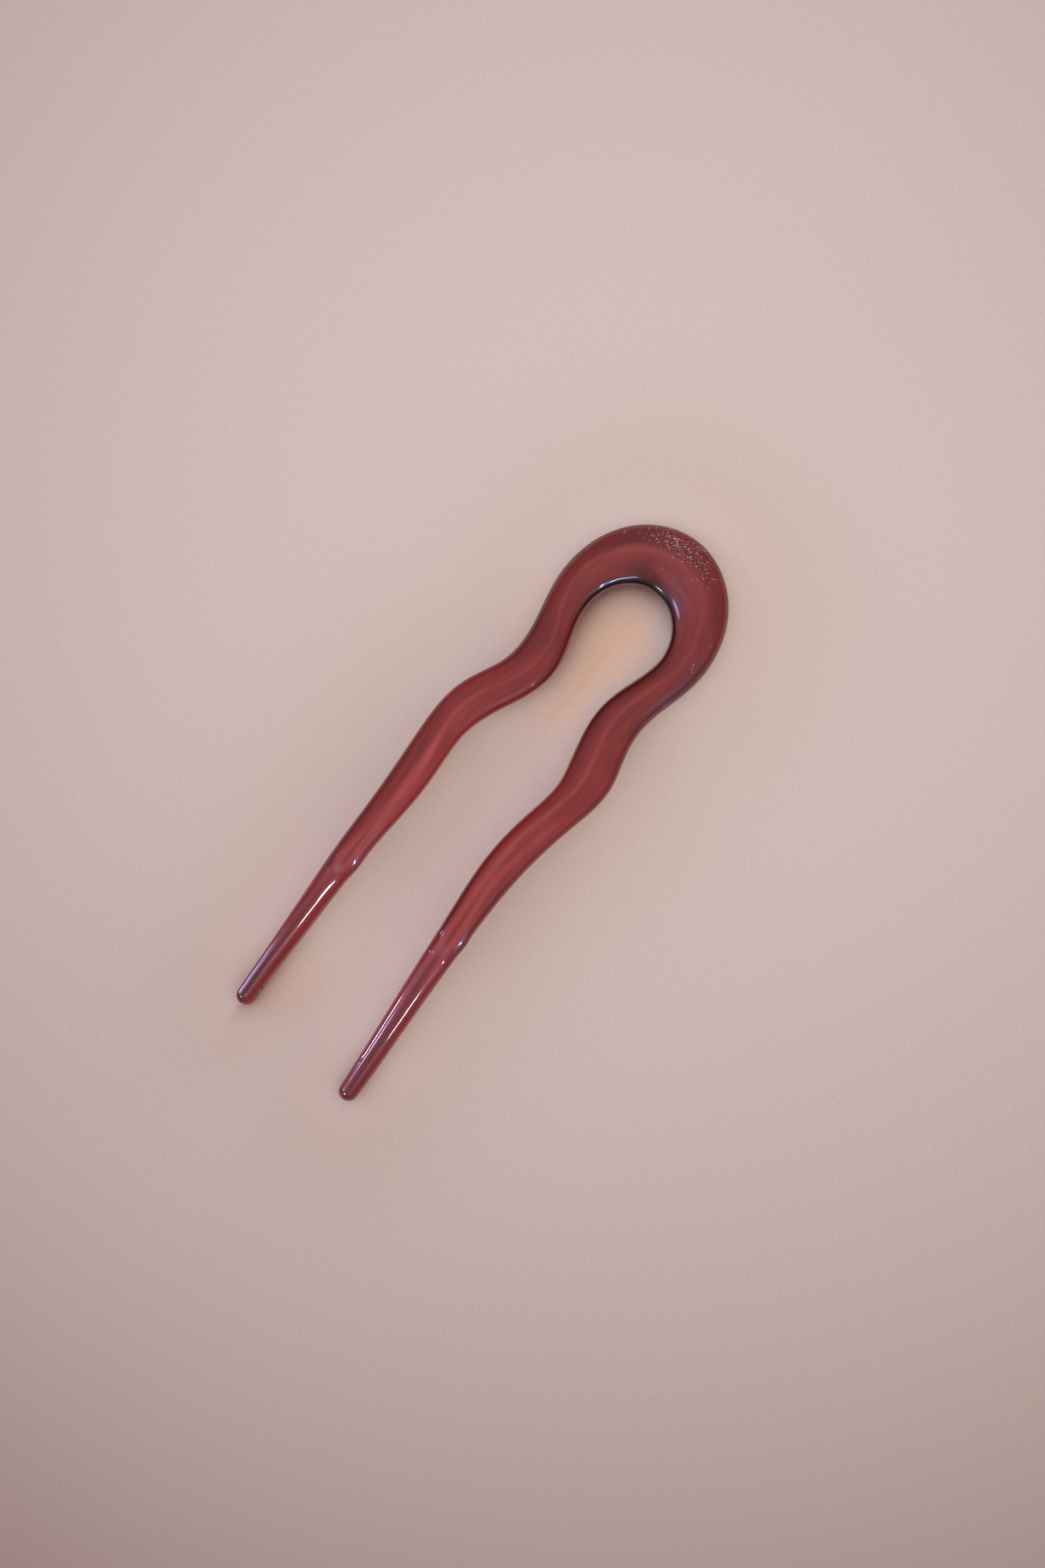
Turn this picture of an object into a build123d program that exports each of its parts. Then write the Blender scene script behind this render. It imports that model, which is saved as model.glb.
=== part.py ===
from build123d import *
import math
import os
from typing import NamedTuple

# A two-legged hair pin, cut in one piece from thick sheet, rounded all over and gently bowed.
# It lies on its underside. +Y runs from the tips to the crown, +X is the right leg's side, +Z is up.
# The origin is the middle of its outline, on the surface that it lies on.

# Plan of the whole pin
pin_length = 115.0           # crown's outer edge to the right leg's tip
left_leg_shortfall = 1.3     # how far the left tip stops short of the right one

# Crown, the broad bend that joins the legs
crown_half_span = 11.6       # pin's axis to the band's middle line at the crown's widest
crown_depth = 13.6           # that middle line from its apex to its widest, along the pin
crown_band_width = 11.95     # band at the apex
crown_side_width = 7.6       # band where the crown turns into the legs

# Legs
leg_width = 7.0              # across a leg below its wave
tip_width = 3.5              # across the round tips
tip_fullness = 1.01          # ball at a tip, as a share of the tip's width

# Thickness and side view
crown_thickness = 6.3
leg_thickness = 6.0
bow_rise = 2.8               # highest place of the underside above the surface
bow_skew = 1.4               # 1 puts that place at the middle, more moves it towards the tips

# Cross-section: where it is thickest, and how square its outer and inner halves are
crown_ridge = 0.42           # share of the band's width, from its outer edge
leg_ridge = 0.5
round_squareness = 2.0       # an ellipse, as at the tips
outer_squareness = 2.1
crown_inner_squareness = 2.9
leg_inner_squareness = 2.3
section_points = 24


class CrownRow(NamedTuple):
    turn: float       # degrees round the crown from the apex
    band: float       # 1 is crown_band_width, 0 is crown_side_width


class LegRow(NamedTuple):
    place: str
    along: float      # share of the leg's length, from where the crown ends
    across: float     # share of crown_half_span, from the pin's axis
    heading: float    # degrees that the leg turns outwards there, towards its tip
    width: float      # 1 is leg_width, 0 is tip_width
    thickness: float  # 1 is leg_thickness, 0 is tip_width


crown_rows = [
    CrownRow(0.0, 1.00),
    CrownRow(22.5, 0.87),
    CrownRow(45.0, 0.61),
    CrownRow(67.5, 0.28),
    CrownRow(90.0, 0.00),
]

left_leg_rows = [
    LegRow("below the crown", 0.073, 0.900, -17.0, 1.01, 1.00),
    LegRow("waist", 0.161, 0.752, 0.0, 1.28, 1.00),
    LegRow("wave's foot", 0.220, 0.845, 20.0, 1.18, 1.00),
    LegRow("wave's climb", 0.262, 0.985, 23.0, 1.17, 1.00),
    LegRow("wave's shoulder", 0.306, 1.103, 14.0, 1.16, 1.00),
    LegRow("wave's crest", 0.349, 1.148, 2.0, 1.02, 1.00),
    LegRow("wave's fall", 0.406, 1.125, -5.0, 0.95, 1.00),
    LegRow("wave's end", 0.469, 1.073, -4.5, 0.93, 1.00),
    LegRow("middle", 0.547, 1.040, -1.5, 0.78, 0.99),
    LegRow("above the shoulder", 0.606, 1.032, -1.5, 0.63, 0.95),
    LegRow("shoulder", 0.667, 1.017, -2.5, 0.53, 0.84),
    LegRow("below the shoulder", 0.722, 0.993, -3.5, 0.42, 0.64),
    LegRow("taper", 0.785, 0.955, -4.0, 0.31, 0.42),
    LegRow("slender end", 0.861, 0.911, -4.0, 0.19, 0.24),
    LegRow("above the tip", 0.930, 0.874, -4.0, 0.07, 0.10),
    LegRow("tip", 1.000, 0.830, -4.5, 0.00, 0.00),
]

right_leg_rows = [
    LegRow("below the crown", 0.073, 0.896, -13.5, 1.08, 1.00),
    LegRow("waist", 0.144, 0.804, 0.0, 1.34, 1.00),
    LegRow("wave's climb", 0.218, 0.912, 16.5, 1.47, 1.00),
    LegRow("wave's shoulder", 0.261, 1.008, 11.0, 1.46, 1.00),
    LegRow("wave's crest", 0.301, 1.035, -1.0, 1.23, 1.00),
    LegRow("wave's fall", 0.337, 1.012, -6.5, 1.06, 1.00),
    LegRow("wave's lower fall", 0.383, 0.956, -8.0, 1.01, 1.00),
    LegRow("wave's end", 0.454, 0.893, -4.0, 1.00, 1.00),
    LegRow("middle", 0.513, 0.884, 1.0, 0.91, 0.99),
    LegRow("above the shoulder", 0.588, 0.925, 5.5, 0.71, 0.95),
    LegRow("shoulder", 0.661, 0.985, 6.3, 0.55, 0.84),
    LegRow("below the shoulder", 0.736, 1.048, 6.5, 0.42, 0.61),
    LegRow("taper", 0.811, 1.117, 6.8, 0.30, 0.40),
    LegRow("slender end", 0.886, 1.190, 7.0, 0.18, 0.21),
    LegRow("above the tip", 0.943, 1.244, 6.0, 0.10, 0.10),
    LegRow("tip", 1.000, 1.290, 5.0, 0.00, 0.00),
]


def side_length(side):
    """Length of the pin along one leg, from the crown's outer edge to the tip."""
    return pin_length - (left_leg_shortfall if side < 0 else 0)


def underside(share):
    """Height of the underside at a share of the length: half a sine wave, skewed towards the tips."""
    return bow_rise * math.sin(math.pi * share ** bow_skew)


def outward(heading, side):
    """Level direction across the pin, away from its axis, where a leg turns outwards by heading."""
    turn = math.radians(heading)
    return Vector(side * math.cos(turn), math.sin(turn), 0)


def middle(along, across, thickness, side):
    """Middle of a cross-section, half its thickness above the bowed underside."""
    lift = underside(along / side_length(side))
    return Vector(side * across, -along, lift + thickness / 2)


def section(centre, out_direction, width, thickness, ridge, inner_squareness):
    """Upright face across the pin: a superellipse whose outer and inner halves differ."""
    points = []
    for i in range(section_points):
        t = 2 * math.pi * i / section_points
        outer = math.cos(t) > 0
        reach = width * (ridge if outer else 1 - ridge)
        power = 2 / (outer_squareness if outer else inner_squareness)
        out = math.copysign(reach * abs(math.cos(t)) ** power, math.cos(t))
        up = math.copysign(thickness / 2 * abs(math.sin(t)) ** power, math.sin(t))
        points.append(centre + out_direction * (out + width * (0.5 - ridge)) + Vector(0, 0, up))
    return Face(Wire(Edge.make_spline(points, periodic=True)))


def crown_section(row, side):
    """Face across the crown's band, whose middle line is an ellipse."""
    turn = math.radians(row.turn)
    along = crown_band_width / 2 + crown_depth * (1 - math.cos(turn))
    across = crown_half_span * math.sin(turn)
    heading = math.degrees(math.atan2(crown_half_span * math.cos(turn), crown_depth * math.sin(turn)))
    width = crown_side_width + row.band * (crown_band_width - crown_side_width)
    ease = math.cos(turn) ** 2
    ridge = leg_ridge + ease * (crown_ridge - leg_ridge)
    inner = leg_inner_squareness + ease * (crown_inner_squareness - leg_inner_squareness)
    centre = middle(along, across, crown_thickness, side)
    return section(centre, outward(heading, side), width, crown_thickness, ridge, inner)


def leg_section(row, side):
    """Face across a leg, which runs from where the crown ends to the middle of its round tip."""
    leg_start = crown_band_width / 2 + crown_depth
    leg_end = side_length(side) - tip_width / 2
    along = leg_start + row.along * (leg_end - leg_start)
    across = row.across * crown_half_span
    width = tip_width + row.width * (leg_width - tip_width)
    thickness = tip_width + row.thickness * (leg_thickness - tip_width)
    inner = round_squareness + (leg_inner_squareness - round_squareness) * row.thickness
    centre = middle(along, across, thickness, side)
    return section(centre, outward(row.heading, side), width, thickness, leg_ridge, inner)


def hair_pin():
    left = [crown_section(row, -1) for row in crown_rows[1:]]
    left += [leg_section(row, -1) for row in left_leg_rows]
    right = [crown_section(row, 1) for row in crown_rows]
    right += [leg_section(row, 1) for row in right_leg_rows]
    body = loft(left[::-1] + right)
    for tip_face in (left[-1], right[-1]):
        body += Pos(tip_face.center()) * Sphere(tip_width / 2 * tip_fullness)
    box = body.bounding_box()
    return Pos(-box.center().X, -box.center().Y, -box.min.Z) * body


pin = hair_pin()
print(f"hair_pin: volume {pin.volume / 1000:.2f} cm3, size {pin.bounding_box().size}")
os.makedirs("parts", exist_ok=True)
export_step(pin, "parts/hair_pin.step")
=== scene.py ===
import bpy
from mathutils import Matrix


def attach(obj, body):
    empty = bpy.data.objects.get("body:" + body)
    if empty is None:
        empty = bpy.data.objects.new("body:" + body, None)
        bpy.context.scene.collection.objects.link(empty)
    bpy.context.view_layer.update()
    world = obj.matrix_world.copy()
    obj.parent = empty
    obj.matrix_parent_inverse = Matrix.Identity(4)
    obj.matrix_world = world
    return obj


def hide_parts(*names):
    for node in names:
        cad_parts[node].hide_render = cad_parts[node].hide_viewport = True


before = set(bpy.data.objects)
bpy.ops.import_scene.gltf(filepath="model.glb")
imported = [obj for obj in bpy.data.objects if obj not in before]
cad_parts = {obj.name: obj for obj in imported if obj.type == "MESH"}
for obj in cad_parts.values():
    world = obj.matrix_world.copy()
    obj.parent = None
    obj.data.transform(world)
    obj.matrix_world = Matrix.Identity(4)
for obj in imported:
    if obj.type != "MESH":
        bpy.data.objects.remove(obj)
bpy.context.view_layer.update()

import math

import bpy
import numpy as np

millimetre = 0.001
tiny = 1e-12  # the least length that a direction is divided by

# The pin, in millimetres as it is made. It lies along Y with its crown at +Y, and the right leg at +X.
pin = {
    "length": 115.0, "leftShortfall": 1.3,  # crown to right tip, and how far the left tip stops short of that
    "crownHalfSpan": 11.6, "crownDepth": 13.6,  # middle line of the crown's band
    "crownBand": 11.95, "crownSide": 7.6, "legWidth": 7.0, "tipWidth": 3.5,
    "bowRise": 2.8, "bowSkew": 1.4,  # the underside's highest place; a skew of 1 puts it at the middle
    "crownRidge": 0.42, "legRidge": 0.5,  # where it is thickest, as a share of the width from the outer edge
    "round": 2.1, "crownInner": 3.7, "legSquare": 3.2,  # how square the section is, 2 being an ellipse
    "ringStep": 0.36, "tipStep": 0.12, "fineEnd": 6.0, "around": 112, "tipRings": 12,  # the skin's grid
}
innerEdge = pin["around"] // 2  # the point of each ring on the pin's inner edge; point 0 is on the outer one

# turn from the apex in degrees, share of the crown's extra band
crownRows = [(0.0, 1.00), (22.5, 0.87), (45.0, 0.61), (67.5, 0.28), (90.0, 0.00)]

# share along the leg, share across, heading in degrees, width share, 0 round to 1 square
leftRows = [
    (0.073, 0.900, -17.0, 1.01, 0.35), (0.161, 0.752, 0.0, 1.28, 0.70), (0.220, 0.845, 20.0, 1.18, 0.95),
    (0.262, 0.985, 23.0, 1.17, 1.00), (0.306, 1.103, 14.0, 1.16, 1.00), (0.349, 1.148, 2.0, 1.02, 1.00),
    (0.406, 1.125, -5.0, 0.95, 1.00), (0.469, 1.073, -4.5, 0.93, 1.00), (0.547, 1.040, -1.5, 0.78, 1.00),
    (0.606, 1.032, -1.5, 0.63, 1.00), (0.667, 1.017, -2.5, 0.53, 0.80), (0.722, 0.993, -3.5, 0.42, 0.15),
    (0.785, 0.955, -4.0, 0.31, 0.00), (0.861, 0.911, -4.0, 0.19, 0.00), (0.930, 0.874, -4.0, 0.07, 0.00),
    (1.000, 0.830, -4.5, 0.00, 0.00),
]
rightRows = [
    (0.073, 0.896, -13.5, 1.08, 0.35), (0.144, 0.804, 0.0, 1.34, 0.70), (0.218, 0.912, 16.5, 1.47, 0.95),
    (0.261, 1.008, 11.0, 1.46, 1.00), (0.301, 1.035, -1.0, 1.23, 1.00), (0.337, 1.012, -6.5, 1.06, 1.00),
    (0.383, 0.956, -8.0, 1.01, 1.00), (0.454, 0.893, -4.0, 1.00, 1.00), (0.513, 0.884, 1.0, 0.91, 1.00),
    (0.588, 0.925, 5.5, 0.71, 1.00), (0.661, 0.985, 6.3, 0.55, 0.80), (0.736, 1.048, 6.5, 0.42, 0.15),
    (0.811, 1.117, 6.8, 0.30, 0.00), (0.886, 1.190, 7.0, 0.18, 0.00), (0.943, 1.244, 6.0, 0.10, 0.00),
    (1.000, 1.290, 5.0, 0.00, 0.00),
]

# travel (0 at the left tip, 1 at the right one), thickness, and rise per millimetre towards the outer edge
bodyRows = [
    (0.000, 3.50, 0.34), (0.027, 3.86, 0.29), (0.053, 4.20, 0.21), (0.070, 4.40, 0.18), (0.085, 4.52, 0.14),
    (0.100, 4.62, 0.08), (0.112, 4.70, 0.03), (0.117, 4.82, 0.01), (0.121, 5.06, 0.00), (0.125, 5.32, 0.00),
    (0.129, 5.53, 0.00), (0.133, 5.65, 0.00), (0.139, 5.71, 0.00), (0.170, 5.74, 0.00), (0.250, 5.80, 0.00),
    (0.340, 5.95, 0.00), (0.370, 6.15, 0.00), (0.410, 6.30, 0.00), (0.500, 6.30, 0.00), (0.590, 6.30, 0.00),
    (0.630, 6.15, 0.00), (0.660, 5.95, 0.00), (0.750, 5.80, 0.00), (0.820, 5.73, 0.00), (0.843, 5.70, 0.00),
    (0.850, 5.66, 0.00), (0.856, 5.54, 0.01), (0.861, 5.36, 0.02), (0.866, 5.11, 0.05), (0.871, 4.83, 0.07),
    (0.874, 4.69, 0.07), (0.877, 4.65, 0.06), (0.886, 4.64, 0.03), (0.899, 4.62, 0.02), (0.907, 4.59, 0.01),
    (0.915, 4.53, 0.00), (0.925, 4.44, 0.00), (0.940, 4.30, -0.02), (0.955, 4.14, -0.04),
    (0.975, 3.86, -0.09), (1.000, 3.50, -0.12),
]


# Cubic through every knot, with no bend at either end: the bends solve a three-banded system, and each span
# is the straight mix of its two values plus the cubed distances times its two bends.
def smoothThrough(knots, values, at):
    step = np.diff(knots)
    count = len(knots)
    system = np.eye(count)
    right = np.zeros((count,) + values.shape[1:])
    inner = np.arange(1, count - 1)
    system[inner, inner - 1] = step[:-1]
    system[inner, inner] = 2 * (step[:-1] + step[1:])
    system[inner, inner + 1] = step[1:]
    slope = np.diff(values, axis=0) / step[:, None]
    right[1:-1] = 6 * np.diff(slope, axis=0)
    bend = np.linalg.solve(system, right)
    span = np.clip(np.searchsorted(knots, at) - 1, 0, count - 2)
    h = step[span][:, None]
    toNext = (knots[span + 1] - at)[:, None] / h
    fromLast = 1 - toNext
    curve = (toNext ** 3 - toNext) * bend[span] + (fromLast ** 3 - fromLast) * bend[span + 1]
    return toNext * values[span] + fromLast * values[span + 1] + curve * h ** 2 / 6


# Length of the pin along one leg: the whole length, less the shortfall on the left.
def sideLength(side):
    return pin["length"] - (pin["leftShortfall"] if side < 0 else 0)


# Height of the underside: bowRise * sin(pi * share^bowSkew), at that share of the pin's length.
def underside(along, side):
    return pin["bowRise"] * math.sin(math.pi * (along / sideLength(side)) ** pin["bowSkew"])


# Cross-sections down one half of the crown. Their middles lie on an ellipse, crownHalfSpan * sin(t) across
# and crownDepth * (1 - cos(t)) along; the ridge moves from the crown's to the leg's as cos(t)^2 falls from
# 1 to 0.
def crownSections(side):
    sections = []
    for turn, band in crownRows:
        t = math.radians(turn)
        along = pin["crownBand"] / 2 + pin["crownDepth"] * (1 - math.cos(t))
        across = pin["crownHalfSpan"] * math.sin(t)
        heading = math.atan2(pin["crownHalfSpan"] * math.cos(t), pin["crownDepth"] * math.sin(t))
        width = pin["crownSide"] + band * (pin["crownBand"] - pin["crownSide"])
        ridge = pin["legRidge"] + math.cos(t) ** 2 * (pin["crownRidge"] - pin["legRidge"])
        direction = heading if side > 0 else math.pi - heading
        sections.append((side * across, along, underside(along, side), direction,
                         width, ridge, pin["round"], pin["crownInner"]))
    return sections


# Cross-sections down one leg, each at its share of the way from the crown's end to the middle of the round
# tip. Width and squareness are a straight mix of two values: the tip's and the leg's, and the round one and
# the square one.
def legSections(table, side):
    start = pin["crownBand"] / 2 + pin["crownDepth"]
    end = sideLength(side) - pin["tipWidth"] / 2
    sections = []
    for share, across, heading, wide, square in table:
        along = start + share * (end - start)
        turn = math.radians(heading)
        width = pin["tipWidth"] + wide * (pin["legWidth"] - pin["tipWidth"])
        squareness = pin["round"] + square * (pin["legSquare"] - pin["round"])
        direction = turn if side > 0 else math.pi - turn
        sections.append((side * across * pin["crownHalfSpan"], along, underside(along, side), direction,
                         width, pin["legRidge"], squareness, squareness))
    return sections


# One row for each cross-section, left tip to right tip: across, along, lift, direction, width, ridge, and
# how square its outer and inner halves are. The left side's rows are turned round, and the apex comes once.
def pinRows():
    left = (crownSections(-1)[1:] + legSections(leftRows, -1))[::-1]
    return np.array(left + crownSections(1) + legSections(rightRows, 1))


# A profile carried along a path. The ring at each place reaches 1 / (|cos|^n + |sin|^n)^(1/n) at each
# angle. It is stretched to the pin's width and thickness, with its own n outside and inside the ridge, and
# stands upright across the path. At the tips the rings shrink by the root of 1 - s^2 as they move out by s,
# as a ball's do.
def pinSurface():
    rows = pinRows()
    knots = np.concatenate([[0], np.cumsum(np.linalg.norm(np.diff(rows[:, :2], axis=0), axis=1))])
    fine = np.arange(0, pin["fineEnd"], pin["tipStep"])
    coarse = np.linspace(pin["fineEnd"], knots[-1] - pin["fineEnd"], int(knots[-1] / pin["ringStep"]))
    at = np.concatenate([fine, coarse, knots[-1] - fine[::-1]])
    path = smoothThrough(knots, rows, at)
    body = np.array(bodyRows)
    path = np.hstack([path, smoothThrough(body[:, 0], body[:, 1:], at / at[-1])])
    cap = np.sin(np.linspace(0, math.pi / 2, pin["tipRings"] + 1)[1:])
    before, after = np.repeat(path[:1], len(cap), 0), np.repeat(path[-1:], len(cap), 0)
    shrink = np.concatenate([np.sqrt(1 - cap[::-1] ** 2), np.ones(len(path)), np.sqrt(1 - cap ** 2)])
    push = np.concatenate([-cap[::-1], np.zeros(len(path)), cap]) * pin["tipWidth"] / 2
    path = np.concatenate([before, path, after])
    across, along, lift, turn, width, ridge, outerN, innerN, thick, lean = path.T

    angle = np.linspace(0, 2 * math.pi, pin["around"], endpoint=False)[None, :]
    outer = np.cos(angle) > 0
    n = np.where(outer, outerN[:, None], innerN[:, None])
    reach = (np.abs(np.cos(angle)) ** n + np.abs(np.sin(angle)) ** n) ** (-1 / n)
    out = np.where(outer, ridge[:, None], 1 - ridge[:, None]) * np.cos(angle) * reach + 0.5 - ridge[:, None]
    out = out * width[:, None]
    up = thick[:, None] / 2 * np.sin(angle) * reach + lean[:, None] * out
    outward = np.stack([np.cos(turn), np.sin(turn)], 1)
    onward = np.stack([np.sin(turn), -np.cos(turn)], 1)  # left tip to right tip
    points = np.zeros(out.shape + (3,))
    points[..., 0] = across[:, None] + outward[:, :1] * out * shrink[:, None] + onward[:, :1] * push[:, None]
    points[..., 1] = -along[:, None] + outward[:, 1:] * out * shrink[:, None] + onward[:, 1:] * push[:, None]
    points[..., 2] = (lift + thick / 2)[:, None] + up * shrink[:, None]
    share = 0.5 - out / width[:, None]  # 0 at the outer edge, 1 at the inner
    travel = np.concatenate([np.zeros(len(cap)), at / at[-1], np.ones(len(cap))])
    return points, share, np.broadcast_to(travel[:, None], out.shape)


# Directions of length 1: each vector divided by its own length.
def unit(vectors):
    return vectors / np.maximum(np.linalg.norm(vectors, axis=-1, keepdims=True), tiny)


# Outward direction at every point of a grid of rings: the step round the ring crossed with the step to the
# next ring.
def outwardOf(points):
    onward = np.gradient(points, axis=0)
    around = np.roll(points, -1, axis=1) - np.roll(points, 1, axis=1)
    return unit(np.cross(around, onward))


# Swells and chips: travel, share, and in millimetres half length, half width and height
marks = [
    (0.1305, 1.00, 2.2, 1.3, 0.40), (0.1180, 0.90, 1.2, 0.8, -0.08),
    (0.8560, 0.02, 1.7, 1.2, 0.30), (0.8740, 0.14, 1.2, 0.8, -0.06),
    (0.0122, 0.95, 0.30, 0.32, -0.50), (0.0085, 0.97, 0.22, 0.24, -0.35), (0.0160, 0.92, 0.20, 0.20, 0.08),
    (0.9720, 0.98, 0.40, 0.50, 0.10), (0.9230, 0.34, 0.18, 0.40, -0.030),
    (0.3020, 0.93, 1.6, 0.35, -0.05), (0.4480, 0.88, 4.0, 1.40, 0.22),
]
atWidest = 0.5  # how much of a mark is left at the pin's widest line: it is whole on top, and gone underneath


# Moves the upper side outward. Each mark adds its height times
# exp(-(along / halfLength)^2 - (across / halfWidth)^2), and their sum is multiplied by atWidest plus the
# outward direction's height, kept between 0 and 1.
def handPolish(points, share, travel):
    outward = outwardOf(points)
    width = np.linalg.norm(points.max(1) - points.min(1), axis=-1)[:, None]
    length = np.linalg.norm(np.diff(points.mean(1), axis=0), axis=-1).sum()
    push = np.zeros(share.shape)
    for place, across, halfLength, halfWidth, height in marks:
        along = (travel - place) * length / halfLength
        push += height * np.exp(-along ** 2 - ((share - across) * width / halfWidth) ** 2)
    upper = np.clip(atWidest + outward[..., 2:], 0, 1)
    return points + outward * push[..., None] * upper


# A grid's values in the order of its skin's points: every ring between the poles, then the first pole and
# the last.
def skinOrder(values):
    return np.concatenate([values[1:-1].reshape((-1,) + values.shape[2:]), values[:1, 0], values[-1:, 0]])


# A grid of points, rings one after another, becomes a closed skin: point i of a ring joins point i + 1 and
# the same two of the next ring in a quad, and a fan of triangles closes each pole.
def skin(name, points):
    rings, around = points.shape[0] - 2, points.shape[1]
    index = np.arange(rings * around).reshape(rings, around)
    ahead = np.roll(index, -1, axis=1)
    quads = np.stack([index[:-1], ahead[:-1], ahead[1:], index[1:]], -1).reshape(-1, 4)
    first, last = rings * around, rings * around + 1
    startFan = np.stack([np.full(around, first), ahead[0], index[0]], -1)
    endFan = np.stack([np.full(around, last), index[-1], ahead[-1]], -1)
    mesh = bpy.data.meshes.new(name)
    mesh.from_pydata(skinOrder(points).tolist(), [], quads.tolist() + startFan.tolist() + endFan.tolist())
    mesh.shade_smooth()
    return mesh


# Gives each point of a mesh its own number, the first to the first, under a name that a material reads.
def addNumbers(mesh, name, values):
    mesh.attributes.new(name, "FLOAT", "POINT").data.foreach_set("value", values.ravel().astype(np.float32))


# An object in the scene, made of a mesh, a lamp or a camera: at the origin, unturned and of size 1.
def putInScene(name, data):
    thing = bpy.data.objects.new(name, data)
    bpy.context.scene.collection.objects.link(thing)
    return thing


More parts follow.
